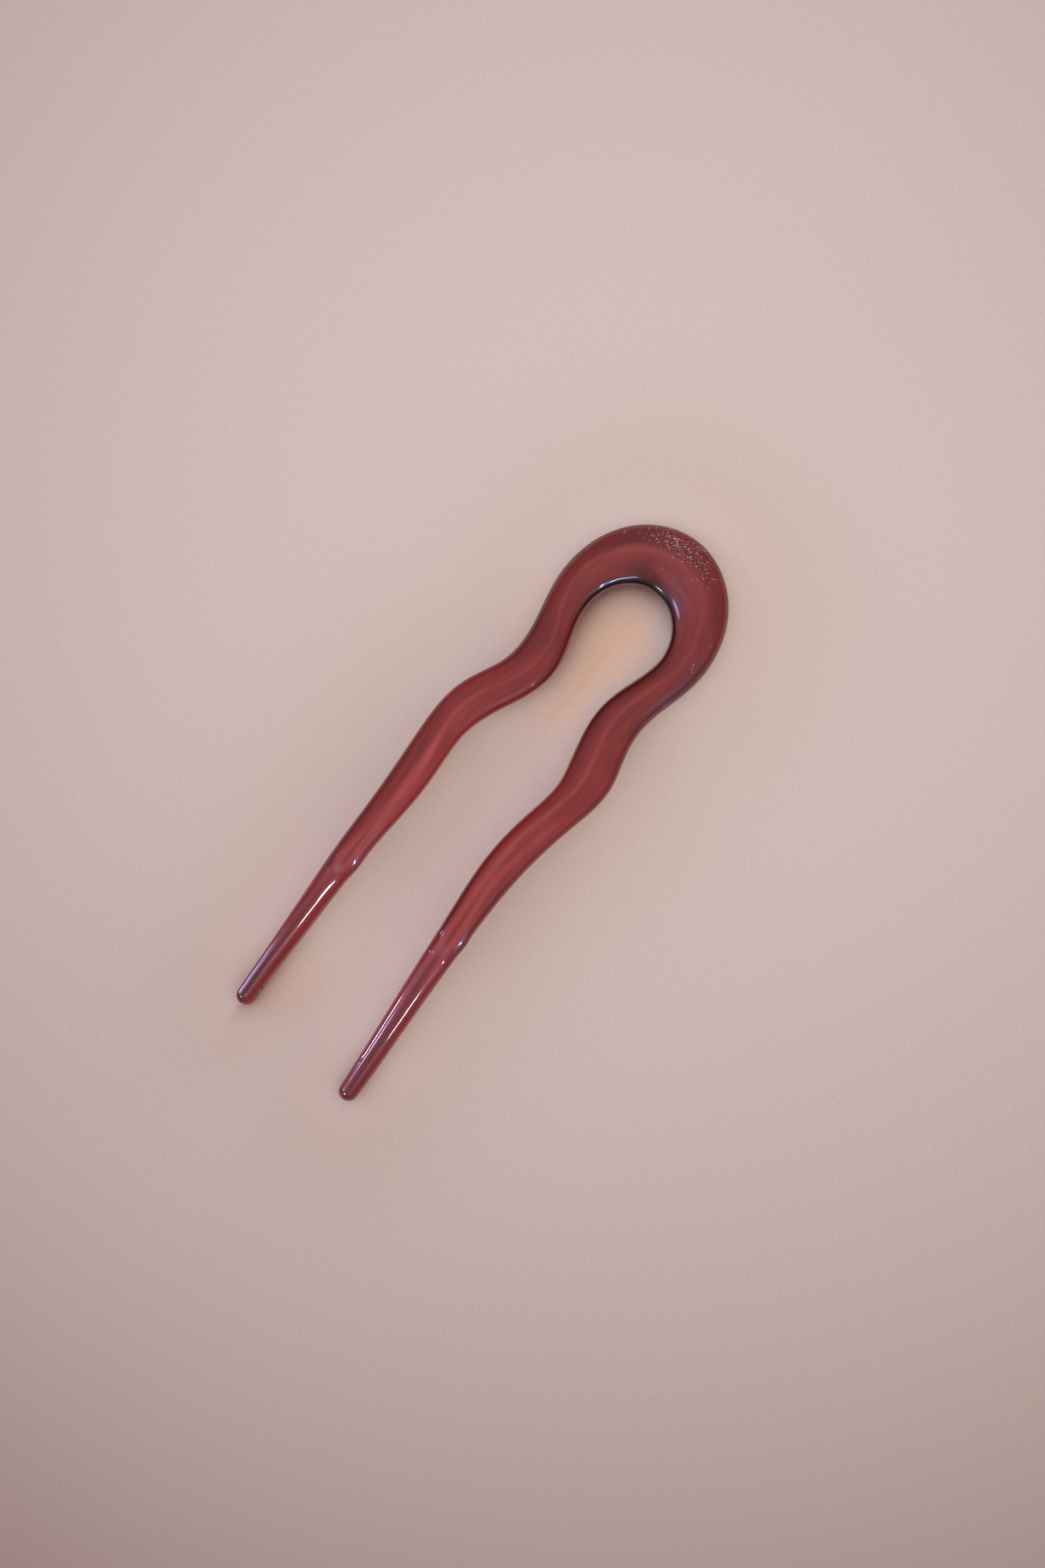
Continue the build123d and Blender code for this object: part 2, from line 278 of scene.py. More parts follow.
# Soft lines in the acetate's colour, most of them painted light and shade: painted bright lines for light
# seen through it, painted dark lines and edges for its shade, a painted dark reflection round the crown's
# inner highlight, and haze that is partly real rub and partly painted sheen and highlights. Each row is
# travel, share across, half width and strength. Travel is 0 at the left tip and 1 at the right one, and share
# is 0 at the outer edge and 1 at the inner.
streaks = {
    # painted light: bright lines that stand for light seen through the acetate, some of them beside its edges
    "paintedGlow": [
        [(0.100, 0.72, 0.12, 0.00), (0.135, 0.68, 0.10, 0.45), (0.170, 0.62, 0.12, 0.65),
         (0.200, 0.60, 0.13, 0.90), (0.225, 0.58, 0.12, 0.90), (0.250, 0.54, 0.07, 0.85),
         (0.270, 0.48, 0.06, 0.60), (0.290, 0.45, 0.05, 0.50), (0.320, 0.48, 0.05, 0.30),
         (0.345, 0.54, 0.05, 0.25), (0.370, 0.58, 0.04, 0.25), (0.390, 0.46, 0.05, 0.35),
         (0.410, 0.38, 0.05, 0.40), (0.430, 0.36, 0.06, 0.48), (0.450, 0.38, 0.07, 0.55),
         (0.470, 0.41, 0.07, 0.58), (0.500, 0.43, 0.08, 0.55), (0.530, 0.47, 0.09, 0.38),
         (0.560, 0.51, 0.06, 0.22), (0.590, 0.57, 0.06, 0.26), (0.650, 0.59, 0.05, 0.35),
         (0.700, 0.60, 0.05, 0.50), (0.750, 0.68, 0.08, 0.55), (0.800, 0.67, 0.10, 0.70),
         (0.840, 0.69, 0.09, 0.60), (0.880, 0.73, 0.08, 0.50), (0.930, 0.74, 0.08, 0.35),
         (1.000, 0.75, 0.08, 0.00)],
        [(0.390, 0.60, 0.12, 0.0), (0.430, 0.56, 0.18, 0.28), (0.460, 0.55, 0.14, 0.20),
         (0.500, 0.62, 0.16, 0.28), (0.530, 0.64, 0.18, 0.26), (0.570, 0.60, 0.12, 0.0)],
        [(0.230, 0.72, 0.10, 0.0), (0.260, 0.70, 0.13, 0.35), (0.300, 0.66, 0.12, 0.10),
         (0.330, 0.66, 0.12, 0.0)],
        [(0.720, 0.33, 0.10, 0.0), (0.750, 0.33, 0.10, 0.45), (0.800, 0.45, 0.12, 0.50),
         (0.840, 0.40, 0.11, 0.60), (0.880, 0.35, 0.09, 0.35), (0.910, 0.30, 0.08, 0.0)],
        [(0.110, 0.88, 0.08, 0.0), (0.160, 0.88, 0.09, 0.30), (0.220, 0.88, 0.09, 0.35),
         (0.300, 0.88, 0.08, 0.30), (0.340, 0.88, 0.08, 0.25), (0.380, 0.86, 0.08, 0.0)],
        [(0.380, 0.14, 0.09, 0.0), (0.420, 0.14, 0.09, 0.20), (0.480, 0.13, 0.09, 0.22),
         (0.540, 0.12, 0.09, 0.22), (0.600, 0.12, 0.09, 0.10), (0.700, 0.12, 0.09, 0.16),
         (0.790, 0.12, 0.09, 0.16), (0.830, 0.12, 0.09, 0.0)],
        [(0.100, 0.35, 0.12, 0.0), (0.135, 0.40, 0.11, 0.50), (0.170, 0.47, 0.07, 0.45),
         (0.200, 0.50, 0.07, 0.0)],
        [(0.000, 0.54, 0.07, 0.2), (0.040, 0.56, 0.06, 0.35), (0.070, 0.58, 0.06, 0.30),
         (0.090, 0.60, 0.06, 0.0)],
    ],
    # painted shade: the dark core of the slender ends, and the darker outer half of the legs and crown
    "paintedShade": [
        [(0.000, 0.36, 0.13, 1.0), (0.020, 0.35, 0.13, 1.0), (0.060, 0.41, 0.10, 0.8),
         (0.100, 0.47, 0.06, 0.6), (0.135, 0.52, 0.04, 0.6), (0.160, 0.54, 0.03, 0.35),
         (0.185, 0.55, 0.04, 0.0)],
        [(0.810, 0.53, 0.04, 0.0), (0.840, 0.53, 0.05, 0.5), (0.880, 0.54, 0.07, 0.65),
         (0.920, 0.51, 0.10, 0.9), (0.970, 0.53, 0.13, 1.0), (1.000, 0.50, 0.14, 1.0)],
        [(0.170, 0.20, 0.12, 0.4), (0.210, 0.34, 0.10, 0.5), (0.250, 0.30, 0.14, 0.5),
         (0.280, 0.15, 0.10, 0.1), (0.330, 0.15, 0.12, 0.3), (0.370, 0.30, 0.16, 0.5),
         (0.400, 0.20, 0.12, 0.3), (0.430, 0.18, 0.13, 0.6), (0.470, 0.22, 0.11, 0.7),
         (0.500, 0.24, 0.09, 0.5), (0.530, 0.20, 0.12, 0.3), (0.560, 0.12, 0.12, 0.3),
         (0.600, 0.20, 0.14, 0.3), (0.660, 0.15, 0.12, 0.0)],
        [(0.560, 0.80, 0.10, 0.0), (0.590, 0.84, 0.14, 0.8), (0.620, 0.86, 0.14, 0.8),
         (0.660, 0.84, 0.10, 0.5), (0.700, 0.80, 0.09, 0.4), (0.750, 0.85, 0.08, 0.3),
         (0.790, 0.90, 0.08, 0.3), (0.850, 0.88, 0.07, 0.0)],
        [(0.452, 0.78, 0.12, 0.0), (0.464, 0.76, 0.17, 0.8), (0.474, 0.76, 0.19, 1.0),
         (0.482, 0.80, 0.14, 0.8), (0.492, 0.86, 0.08, 0.3), (0.500, 0.88, 0.06, 0.0)],
    ],
    # painted shade: dark lines along the edges and the rods' cores, and the dark in the chip near the left
    # tip
    "paintedEdgeShade": [
        [(0.000, 0.34, 0.16, 0.30), (0.020, 0.34, 0.16, 0.30), (0.050, 0.38, 0.12, 0.10),
         (0.080, 0.42, 0.10, 0.0)],
        [(0.0080, 0.95, 0.05, 0.0), (0.0115, 0.93, 0.07, 1.0), (0.0130, 0.93, 0.07, 0.9),
         (0.0150, 0.94, 0.05, 0.0)],
        [(0.090, 0.02, 0.05, 0.0), (0.120, 0.06, 0.09, 0.40), (0.170, 0.08, 0.12, 0.50),
         (0.210, 0.07, 0.11, 0.45), (0.250, 0.08, 0.13, 0.22), (0.290, 0.03, 0.06, 0.05),
         (0.330, 0.05, 0.08, 0.22), (0.370, 0.06, 0.13, 0.60), (0.395, 0.04, 0.10, 0.35),
         (0.420, 0.06, 0.11, 0.12), (0.450, 0.08, 0.12, 0.10), (0.500, 0.05, 0.10, 0.05),
         (0.530, 0.06, 0.12, 0.08), (0.560, 0.04, 0.12, 0.12), (0.600, 0.09, 0.16, 0.45),
         (0.650, 0.07, 0.14, 0.25), (0.700, 0.07, 0.12, 0.12), (0.750, 0.07, 0.12, 0.08),
         (0.800, 0.10, 0.12, 0.22), (0.840, 0.13, 0.12, 0.30), (0.880, 0.11, 0.11, 0.20),
         (0.920, 0.08, 0.10, 0.10), (0.970, 0.00, 0.05, 0.0)],
        [(0.100, 0.00, 0.05, 0.0), (0.140, 0.00, 0.05, 0.60), (0.400, 0.00, 0.04, 0.70),
         (0.600, 0.00, 0.04, 0.70), (0.840, 0.00, 0.05, 0.60), (0.950, 0.00, 0.05, 0.0)],
        [(0.270, 0.95, 0.06, 0.0), (0.290, 0.95, 0.06, 0.10), (0.330, 0.93, 0.09, 0.22),
         (0.370, 0.93, 0.08, 0.35), (0.405, 0.93, 0.08, 0.75), (0.440, 0.97, 0.05, 0.95),
         (0.470, 0.96, 0.11, 1.00), (0.500, 0.95, 0.09, 0.95), (0.530, 0.98, 0.05, 1.00),
         (0.560, 0.96, 0.07, 1.00), (0.600, 0.96, 0.08, 0.55), (0.650, 0.96, 0.08, 0.60),
         (0.700, 0.95, 0.07, 0.20), (0.750, 0.97, 0.06, 0.10), (0.800, 0.93, 0.08, 0.35),
         (0.840, 0.91, 0.09, 0.70), (0.870, 0.92, 0.07, 0.40), (0.910, 1.00, 0.04, 0.0)],
    ],
    # painted reflection: the dark blue of the room seen round the crown's inner highlight
    "paintedDarkReflection": [
        [(0.390, 0.95, 0.05, 0.0), (0.405, 0.93, 0.07, 0.60), (0.430, 0.91, 0.09, 0.95),
         (0.455, 0.94, 0.07, 0.90), (0.475, 0.96, 0.05, 0.50), (0.490, 0.96, 0.05, 0.20),
         (0.510, 0.92, 0.07, 0.50), (0.528, 0.91, 0.08, 0.60), (0.545, 0.95, 0.05, 0.0)],
    ],
    # partly a real hazy rub and smears; partly painted sheen and painted highlights on the crown, shoulders
    # and ends
    "hazeAndPaintedSheen": [
        [(0.545, 0.22, 0.06, 0.0), (0.565, 0.21, 0.06, 0.15), (0.590, 0.18, 0.08, 0.28),
         (0.610, 0.14, 0.07, 0.32), (0.630, 0.10, 0.05, 0.18), (0.650, 0.07, 0.04, 0.0)],
        [(0.115, 0.90, 0.06, 0.0), (0.135, 0.90, 0.08, 0.45), (0.160, 0.93, 0.06, 0.25),
         (0.180, 0.95, 0.05, 0.0)],
        [(0.490, 0.72, 0.12, 0.0), (0.505, 0.72, 0.14, 0.25), (0.530, 0.76, 0.12, 0.20),
         (0.550, 0.78, 0.10, 0.0)],
        [(0.770, 0.14, 0.06, 0.0), (0.800, 0.15, 0.06, 0.10), (0.842, 0.17, 0.05, 0.12),
         (0.850, 0.17, 0.055, 0.55), (0.858, 0.17, 0.055, 0.85), (0.864, 0.16, 0.05, 0.30),
         (0.880, 0.14, 0.05, 0.12), (0.895, 0.14, 0.05, 0.0)],
        [(0.440, 0.15, 0.10, 0.0), (0.470, 0.17, 0.13, 0.12), (0.500, 0.17, 0.13, 0.16),
         (0.520, 0.16, 0.10, 0.0)],
        [(0.000, 0.50, 0.60, 0.10), (0.110, 0.50, 0.60, 0.12), (0.140, 0.50, 0.60, 0.05),
         (0.170, 0.50, 0.60, 0.0)],
        [(0.604, 0.085, 0.020, 0.0), (0.607, 0.085, 0.025, 0.80), (0.612, 0.085, 0.025, 0.80),
         (0.615, 0.085, 0.020, 0.0)],
        [(0.560, 0.170, 0.020, 0.0), (0.567, 0.186, 0.025, 0.45), (0.579, 0.235, 0.025, 0.50),
         (0.588, 0.228, 0.030, 0.40), (0.593, 0.220, 0.020, 0.0)],
        [(0.855, 0.50, 0.60, 0.0), (0.875, 0.50, 0.60, 0.12), (0.940, 0.50, 0.60, 0.12),
         (1.000, 0.50, 0.60, 0.10)],
    ],
}


# The strength of a family of soft lines at every point: along each line its middle runs smoothly through
# the rows, and across the pin it fades as strength * exp(-((share - middle) / halfWidth)^2). The strongest
# line wins.
def streakStrength(lines, travel, share):
    total = np.zeros(share.shape)
    for rows in lines:
        table = np.array(rows)
        place = travel[:, 0]
        middle = smoothThrough(table[:, 0], table[:, 1:2], np.clip(place, table[0, 0], table[-1, 0]))
        halfWidth = np.interp(place, table[:, 0], table[:, 2])[:, None]
        strength = np.interp(place, table[:, 0], table[:, 3])[:, None]
        total = np.maximum(total, strength * np.exp(-((share - middle) / halfWidth) ** 2))
    return total


points, share, travel = pinSurface()
points = handPolish(points, share, travel)
low, high = points.reshape(-1, 3).min(0), points.reshape(-1, 3).max(0)
points = (points - [(low[0] + high[0]) / 2, (low[1] + high[1]) / 2, low[2]]) * millimetre
pinMesh = skin("acetatePin", points)
addNumbers(pinMesh, "share", skinOrder(share))
addNumbers(pinMesh, "travel", skinOrder(travel))
for family, lines in streaks.items():
    addNumbers(pinMesh, family, skinOrder(streakStrength(lines, travel, share)))
pinPiece = putInScene("acetatePin", pinMesh)
print("pin skin", len(pinMesh.polygons), "faces, size", (high - low).round(3))

# Colours of the body and of each family of lines, mostly painted light and shade, the veins, and how light
# goes in and comes off
acetateLook = {
    # the body's own colour, painted shade, painted light, a painted dark reflection, and rub with painted
    # sheen
    "body": (0.60, 0.062, 0.072), "paintedShade": (0.31, 0.019, 0.028), "paintedGlow": (0.97, 0.205, 0.200),
    "paintedEdgeShade": (0.045, 0.003, 0.010), "paintedDarkReflection": (0.020, 0.006, 0.045), "hazeAndPaintedSheen": (0.36, 0.25, 0.48),
    "marbling": 0.16, "veins": (34.0, 9.0), "veinDetail": 4.0, "veinTwist": 0.6,  # how fine along and across
    "through": 0.65, "bend": 1.49,  # share of the light that goes in, and how much it bends there
    "density": 260.0, "passes": (0.72, 0.05, 0.05),  # how soon that light is coloured, and how
    "roughness": 0.30, "innerShine": 0.1, "coat": 1.0, "polish": 0.02,  # polish: roughness of the coat
}
noiseMiddle = (0.3, 0.7)  # most of a noise lies between these


# A material with its nodes, its links and its shader.
def newMaterial(name):
    material = bpy.data.materials.new(name)
    material.use_nodes = True
    tree = material.node_tree
    return material, tree.nodes, tree.links, tree.nodes["Principled BSDF"]


# Puts a fixed value on each socket named.
def setSockets(node, values):
    for socket, value in values.items():
        node.inputs[socket].default_value = value


# The number that addNumbers gave each point, and a straight mix of three of them inside a face.
def readNumbers(nodes, name):
    node = nodes.new("ShaderNodeAttribute")
    node.attribute_name = name
    return node.outputs["Fac"]


# A colour that is first * (1 - share) + second * share; each is a fixed colour or comes from another node.
def mixColour(nodes, links, share, first, second):
    node = nodes.new("ShaderNodeMix")
    node.data_type = "RGBA"
    links.new(share, node.inputs["Factor"])
    for socket, colour in ((node.inputs["A"], first), (node.inputs["B"], second)):
        if isinstance(colour, tuple):
            socket.default_value = (*colour, 1)
        else:
            links.new(colour, socket)
    return node.outputs["Result"]


# A colour times a shade that follows noise: the middle of the noise's range becomes 1 - amount to 1 + amount.
def shadeByNoise(nodes, links, noise, amount, colour):
    spread = nodes.new("ShaderNodeMapRange")
    setSockets(spread, {"From Min": noiseMiddle[0], "From Max": noiseMiddle[1],
                        "To Min": 1 - amount, "To Max": 1 + amount})
    links.new(noise.outputs["Fac"], spread.inputs["Value"])
    shaded = nodes.new("ShaderNodeVectorMath")
    shaded.operation = "SCALE"
    links.new(colour, shaded.inputs["Vector"])
    links.new(spread.outputs["Result"], shaded.inputs["Scale"])
    return shaded.outputs["Vector"]


acetate, nodes, links, shader = newMaterial("burgundyAcetate")
colour = acetateLook["body"]
# painted light and shade, and rub with painted sheen, mixed over the body's own colour
for family in ("paintedShade", "paintedGlow", "paintedEdgeShade", "paintedDarkReflection", "hazeAndPaintedSheen"):
    colour = mixColour(nodes, links, readNumbers(nodes, family), colour, acetateLook[family])

# faint veins that run along the pin, wavy from noise stretched along it
unrolled = nodes.new("ShaderNodeCombineXYZ")
links.new(readNumbers(nodes, "travel"), unrolled.inputs["X"])
links.new(readNumbers(nodes, "share"), unrolled.inputs["Y"])
stretch = nodes.new("ShaderNodeVectorMath")
stretch.operation = "MULTIPLY"
stretch.inputs[1].default_value = (*acetateLook["veins"], 1)
links.new(unrolled.outputs["Vector"], stretch.inputs[0])
veins = nodes.new("ShaderNodeTexNoise")
setSockets(veins, {"Scale": 1.0, "Detail": acetateLook["veinDetail"], "Distortion": acetateLook["veinTwist"]})
links.new(stretch.outputs["Vector"], veins.inputs["Vector"])
links.new(shadeByNoise(nodes, links, veins, acetateLook["marbling"], colour), shader.inputs["Base Color"])
setSockets(shader, {
    "Transmission Weight": acetateLook["through"], "IOR": acetateLook["bend"],
    "Roughness": acetateLook["roughness"], "Specular IOR Level": acetateLook["innerShine"],
    "Coat Weight": acetateLook["coat"], "Coat Roughness": acetateLook["polish"],
})
absorb = nodes.new("ShaderNodeVolumeAbsorption")
setSockets(absorb, {"Color": (*acetateLook["passes"], 1), "Density": acetateLook["density"]})
links.new(absorb.outputs["Volume"], nodes["Material Output"].inputs["Volume"])
pinMesh.materials.append(acetate)
print("acetate", len(nodes), "nodes")
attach(pinPiece, "root")
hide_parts("hair_pin")

# Lint, most of it on the crown: fibres in each drift, its middle (travel, share) and its spread in both
drifts = [
    (60, 0.4820, 0.150, 0.0070, 0.080), (80, 0.4890, 0.225, 0.0070, 0.090),
    (60, 0.5010, 0.200, 0.0070, 0.090), (24, 0.5090, 0.280, 0.0060, 0.070),
    (5, 0.4590, 0.090, 0.0020, 0.020), (7, 0.5030, 0.600, 0.0200, 0.120), (4, 0.5760, 0.320, 0.0030, 0.040),
    (3, 0.5585, 0.186, 0.0020, 0.020),
]
# Specks and fibres that stand out: travel, share, length and thickness in millimetres, degrees of direction
plainLint = [
    (0.4803, 0.161, 0.16, 0.15, 0.0), (0.4997, 0.144, 0.17, 0.15, 40.0), (0.5053, 0.203, 0.18, 0.16, 0.0),
    (0.5009, 0.647, 0.17, 0.14, 0.0), (0.5203, 0.303, 0.17, 0.14, 0.0), (0.4653, 0.127, 0.14, 0.11, 0.0),
    (0.5090, 0.600, 0.12, 0.10, 0.0), (0.4110, 0.830, 0.14, 0.12, 0.0), (0.8530, 0.600, 0.14, 0.13, 0.0),
    (0.8900, 0.770, 0.16, 0.14, 0.0), (0.5791, 0.245, 0.20, 0.16, 20.0), (0.4816, 0.278, 0.95, 0.08, 15.0),
    (0.4900, 0.330, 0.85, 0.08, -40.0), (0.4870, 0.250, 0.80, 0.08, 70.0), (0.5760, 0.345, 0.80, 0.07, -30.0),
    (0.5147, 0.220, 1.30, 0.06, -60.0), (0.5103, 0.287, 0.90, 0.06, 30.0), (0.4953, 0.404, 0.60, 0.07, -20.0),
]
lintLook = {
    "seed": 7, "longest": 0.6, "shortest": 0.12, "shortness": 3, "thick": (0.055, 0.130),  # in millimetres
    "bend": 130.0, "plainBend": 60.0,  # degrees that two fibres in three turn less than, from end to end
    "turns": 7, "sides": 4, "endPlace": 0.98,  # rings of a fibre, points of a ring, place of the end rings
    "lift": 0.3, "travelLimits": (0.01, 0.99), "shareLimits": (0.03, 0.97),  # lift: in radii, above the skin
    "colour": (1.0, 0.77, 0.75), "dim": 0.55, "speckle": 900.0, "roughness": 0.9,
}


# Places on the upper side at travel and share: a straight mix of the four nearest points of the grid, first
# between two points of each ring and then between the rings.
def onPin(points, share, travel, at, across):
    place = np.interp(at, travel[:, 0], np.arange(len(travel)))
    ring = np.clip(place.astype(int), 0, len(travel) - 2)
    top = innerEdge + 1  # points of a ring's upper half, both edges counted

    # on one ring: the mix of the two points on either side of the share asked for
    def along(ring):
        row = share[ring, :top]
        cell = np.clip((row <= across[:, None]).sum(1) - 1, 0, top - 2)
        number = np.arange(len(cell))
        left, right = row[number, cell], row[number, cell + 1]
        part = ((across - left) / (right - left))[:, None]
        return points[ring, cell] * (1 - part) + points[ring, cell + 1] * part

    part = (place - ring)[:, None]
    return along(ring) * (1 - part) + along(ring + 1) * part


# Fibres as thin tubes that lie on the pin. Each is shortest + (longest - shortest) * random^shortness long.
# Its direction turns evenly along it, so its course is the running sum of cos and sin; its thickness is
# that of a ball drawn out, sqrt(1 - s^2), and its ends are closed.
def lintMesh(points, share, travel):
    rng = np.random.default_rng(lintLook["seed"])
    counts = [row[0] for row in drifts]
    spots = np.repeat(np.array([row[1:] for row in drifts]), counts, 0)
    count = len(spots)
    at = rng.normal(spots[:, 0], spots[:, 2])
    across = rng.normal(spots[:, 1], spots[:, 3])
    spare = (lintLook["longest"] - lintLook["shortest"]) * rng.random(count) ** lintLook["shortness"]
    length = lintLook["shortest"] + spare
    thick = rng.uniform(*lintLook["thick"], count)
    heading = rng.uniform(0, 360, count)
    bend = rng.normal(0, lintLook["bend"], count)
    plain = np.array(plainLint)
    at, across = np.concatenate([at, plain[:, 0]]), np.concatenate([across, plain[:, 1]])
    length, thick = np.concatenate([length, plain[:, 2]]), np.concatenate([thick, plain[:, 3]])
    heading = np.radians(np.concatenate([heading, plain[:, 4]]))
    bend = np.radians(np.concatenate([bend, rng.normal(0, lintLook["plainBend"], len(plain))]))

    sides, rings = lintLook["sides"], lintLook["turns"]
    s = np.linspace(-lintLook["endPlace"], lintLook["endPlace"], rings)
    course = heading[:, None] + bend[:, None] * s / 2
    stride = (length / (rings - 1))[:, None]
    onward = np.cumsum(np.cos(course) * stride, 1)
    sideways = np.cumsum(np.sin(course) * stride, 1)
    pinLength = np.linalg.norm(np.diff(points.mean(1), axis=0), axis=1).sum() / millimetre
    widths = np.linalg.norm(points[:, 0] - points[:, innerEdge], axis=1) / millimetre
    width = np.interp(at, travel[:, 0], widths)[:, None]
    atAll = np.clip(at[:, None] + onward / pinLength, *lintLook["travelLimits"])
    acrossAll = np.clip(across[:, None] + sideways / width, *lintLook["shareLimits"])
    spine = onPin(points, share, travel, atAll.ravel(), acrossAll.ravel()).reshape(len(at), -1, 3)
    radius = thick[:, None] / 2 * millimetre * np.sqrt(1 - s ** 2)
    spine[..., 2] += radius * lintLook["lift"]
    forward = np.gradient(spine, axis=1)
    side = unit(np.cross(forward, [0, 0, 1.0]))
    rise = unit(np.cross(side, forward))
    turn = np.arange(sides) * 2 * math.pi / sides + math.pi / 4
    around = side[:, :, None] * np.cos(turn)[:, None] + rise[:, :, None] * np.sin(turn)[:, None]
    vertices = spine[:, :, None] + around * radius[..., None, None]

    index = np.arange(vertices[..., 0].size).reshape(len(at), rings, sides)
    ahead = np.roll(index, -1, axis=2)
    walls = np.stack([index[:, :-1], ahead[:, :-1], ahead[:, 1:], index[:, 1:]], -1).reshape(-1, 4)
    caps = np.concatenate([index[:, 0, ::-1], index[:, -1]])
    mesh = bpy.data.meshes.new("lint")
    mesh.from_pydata(vertices.reshape(-1, 3).tolist(), [], np.concatenate([walls, caps]).tolist())
    mesh.shade_smooth()
    return mesh


lint = lintMesh(points, share, travel)
lintPiece = putInScene("lint", lint)
print("lint", len(lint.polygons), "faces")
lintMaterial, lintNodes, lintLinks, lintShader = newMaterial("paleLint")
lintPlace = lintNodes.new("ShaderNodeTexCoord")
lintSpeckle = lintNodes.new("ShaderNodeTexNoise")
setSockets(lintSpeckle, {"Scale": lintLook["speckle"]})
lintLinks.new(lintPlace.outputs["Object"], lintSpeckle.inputs["Vector"])
dimLint = tuple(lintLook["dim"] * part for part in lintLook["colour"])
lintLinks.new(mixColour(lintNodes, lintLinks, lintSpeckle.outputs["Fac"], dimLint, lintLook["colour"]),
              lintShader.inputs["Base Color"])
setSockets(lintShader, {"Roughness": lintLook["roughness"]})
lint.materials.append(lintMaterial)
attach(lintPiece, "root")

# Pale paper, in metres, with light and shade painted into its colour. It is brightest beyond the middle of
# the pin, and a painted shade darkens it away from there: the share of dim is (distance / reach)^2. With gap
# for the distance to the pin, a painted shadow beside the pin has the share exp(-(gap / besideReach)^2). The
# light that the acetate throws is painted, with the share exp(-gap / nearReach) of near, and a painted red
# shade on the inner side has exp(-gap / rimReach) of rim; both follow a table of travel and strength along
# the pin. A painted pool of warm light in the loop and a painted shade beside the left tip are soft patches.
paperLook = {
    # bright: the paper's own colour; dim: painted shade, darker away from the middle
    "bright": (0.780, 0.663, 0.635), "dim": (0.33, 0.225, 0.215), "middle": (-0.0145, 0.0593), "reach": 0.248,
    # painted shadow of the pin, beside it on the paper
    "paintedShadowBeside": (0.735, 0.590, 0.555), "besideReach": 0.020,
    # painted light that the acetate throws onto the paper close to it
    "near": (1.0, 0.865, 0.820), "nearReach": 0.0035,
    "nearAlong": [(0, 0.3), (0.04, 1), (0.96, 1), (1, 0.3)],
    # painted red shade on the paper along the pin's inner side
    "rim": (0.42, 0.20, 0.15), "rimReach": 0.0022,
    "rimAlong": [(0, 0.45), (0.03, 0.45), (0.08, 0), (0.29, 0), (0.34, 0.5), (0.40, 1), (0.49, 1), (0.56, 0)],
    # a painted pool of warm light on the paper inside the loop
    "paintedLoopLight": (0.90, 0.580, 0.425), "loop": (-0.0014, 0.0302), "loopReach": 0.019,
    # painted shade on the paper beside the left tip
    "tipShade": (0.735, 0.535, 0.455), "tip": (-0.0068, -0.0478), "tipReach": 0.010,
    "grain": 0.04, "grainSize": 0.0005, "grainDetail": 3.0, "roughness": 0.85,
    "half": 1.5, "fineHalf": 0.09, "fineSteps": 181, "ringSkip": 3,
}
edges = np.linspace(-paperLook["fineHalf"], paperLook["fineHalf"], paperLook["fineSteps"])
edges = np.concatenate([[-paperLook["half"]], edges, [paperLook["half"]]])
paperX, paperY = np.meshgrid(edges, edges, indexing="ij")
someRings = slice(None, None, paperLook["ringSkip"])  # enough of the pin's rings to measure the gap from
middles = points.mean(1)[someRings, :2]
outwards = points[someRings, 0] - points[someRings, innerEdge]  # from the inner edge to the outer one
gap = np.sqrt((paperX[..., None] - middles[:, 0]) ** 2 + (paperY[..., None] - middles[:, 1]) ** 2)
gap = gap - np.linalg.norm(outwards, axis=1) / 2
nearest = gap.argmin(-1)
gap = np.maximum(gap.min(-1), 0)
awayX, awayY = paperX - middles[nearest, 0], paperY - middles[nearest, 1]
inside = awayX * outwards[nearest, 0] + awayY * outwards[nearest, 1] < 0


# Strength at the ring nearest to each point of the paper: straight between a table's rows of travel and
# strength.
def alongPin(table):
    return np.interp(travel[someRings, 0], *np.array(table).T)[nearest]


# shares of the painted shadow beside the pin, the painted light near it, and the painted red shade inside it
shades = {
    "sideShade": np.exp(-(gap / paperLook["besideReach"]) ** 2),
    "paintedNearLight": np.exp(-gap / paperLook["nearReach"]) * alongPin(paperLook["nearAlong"]),
    "rimShade": np.exp(-gap / paperLook["rimReach"]) * inside * alongPin(paperLook["rimAlong"]),
}
index = np.arange(edges.size ** 2).reshape(edges.size, edges.size)
sheet = np.stack([index[:-1, :-1], index[1:, :-1], index[1:, 1:], index[:-1, 1:]], -1).reshape(-1, 4)
paperPoints = np.stack([paperX, paperY, np.zeros(paperX.shape)], -1).reshape(-1, 3)
floorMesh = bpy.data.meshes.new("paper")
floorMesh.from_pydata(paperPoints.tolist(), [], sheet.tolist())
for name, values in shades.items():
    addNumbers(floorMesh, name, values)
floor = putInScene("paper", floorMesh)
print("paper", len(floorMesh.polygons), "faces")
paper, paperNodes, paperLinks, paperShader = newMaterial("palePaper")
place = paperNodes.new("ShaderNodeTexCoord")


# How far a place on the paper is from the middle of something: (distance / reach)^2.
def awayFrom(place, middle, reach):
    spread = paperNodes.new("ShaderNodeMapping")
    spread.vector_type = "TEXTURE"
    setSockets(spread, {"Location": (*middle, 0), "Scale": (reach, reach, reach)})
    paperLinks.new(place.outputs["Object"], spread.inputs["Vector"])
    square = paperNodes.new("ShaderNodeVectorMath")
    square.operation = "DOT_PRODUCT"
    paperLinks.new(spread.outputs["Vector"], square.inputs[0])
    paperLinks.new(spread.outputs["Vector"], square.inputs[1])
    return square.outputs["Value"]


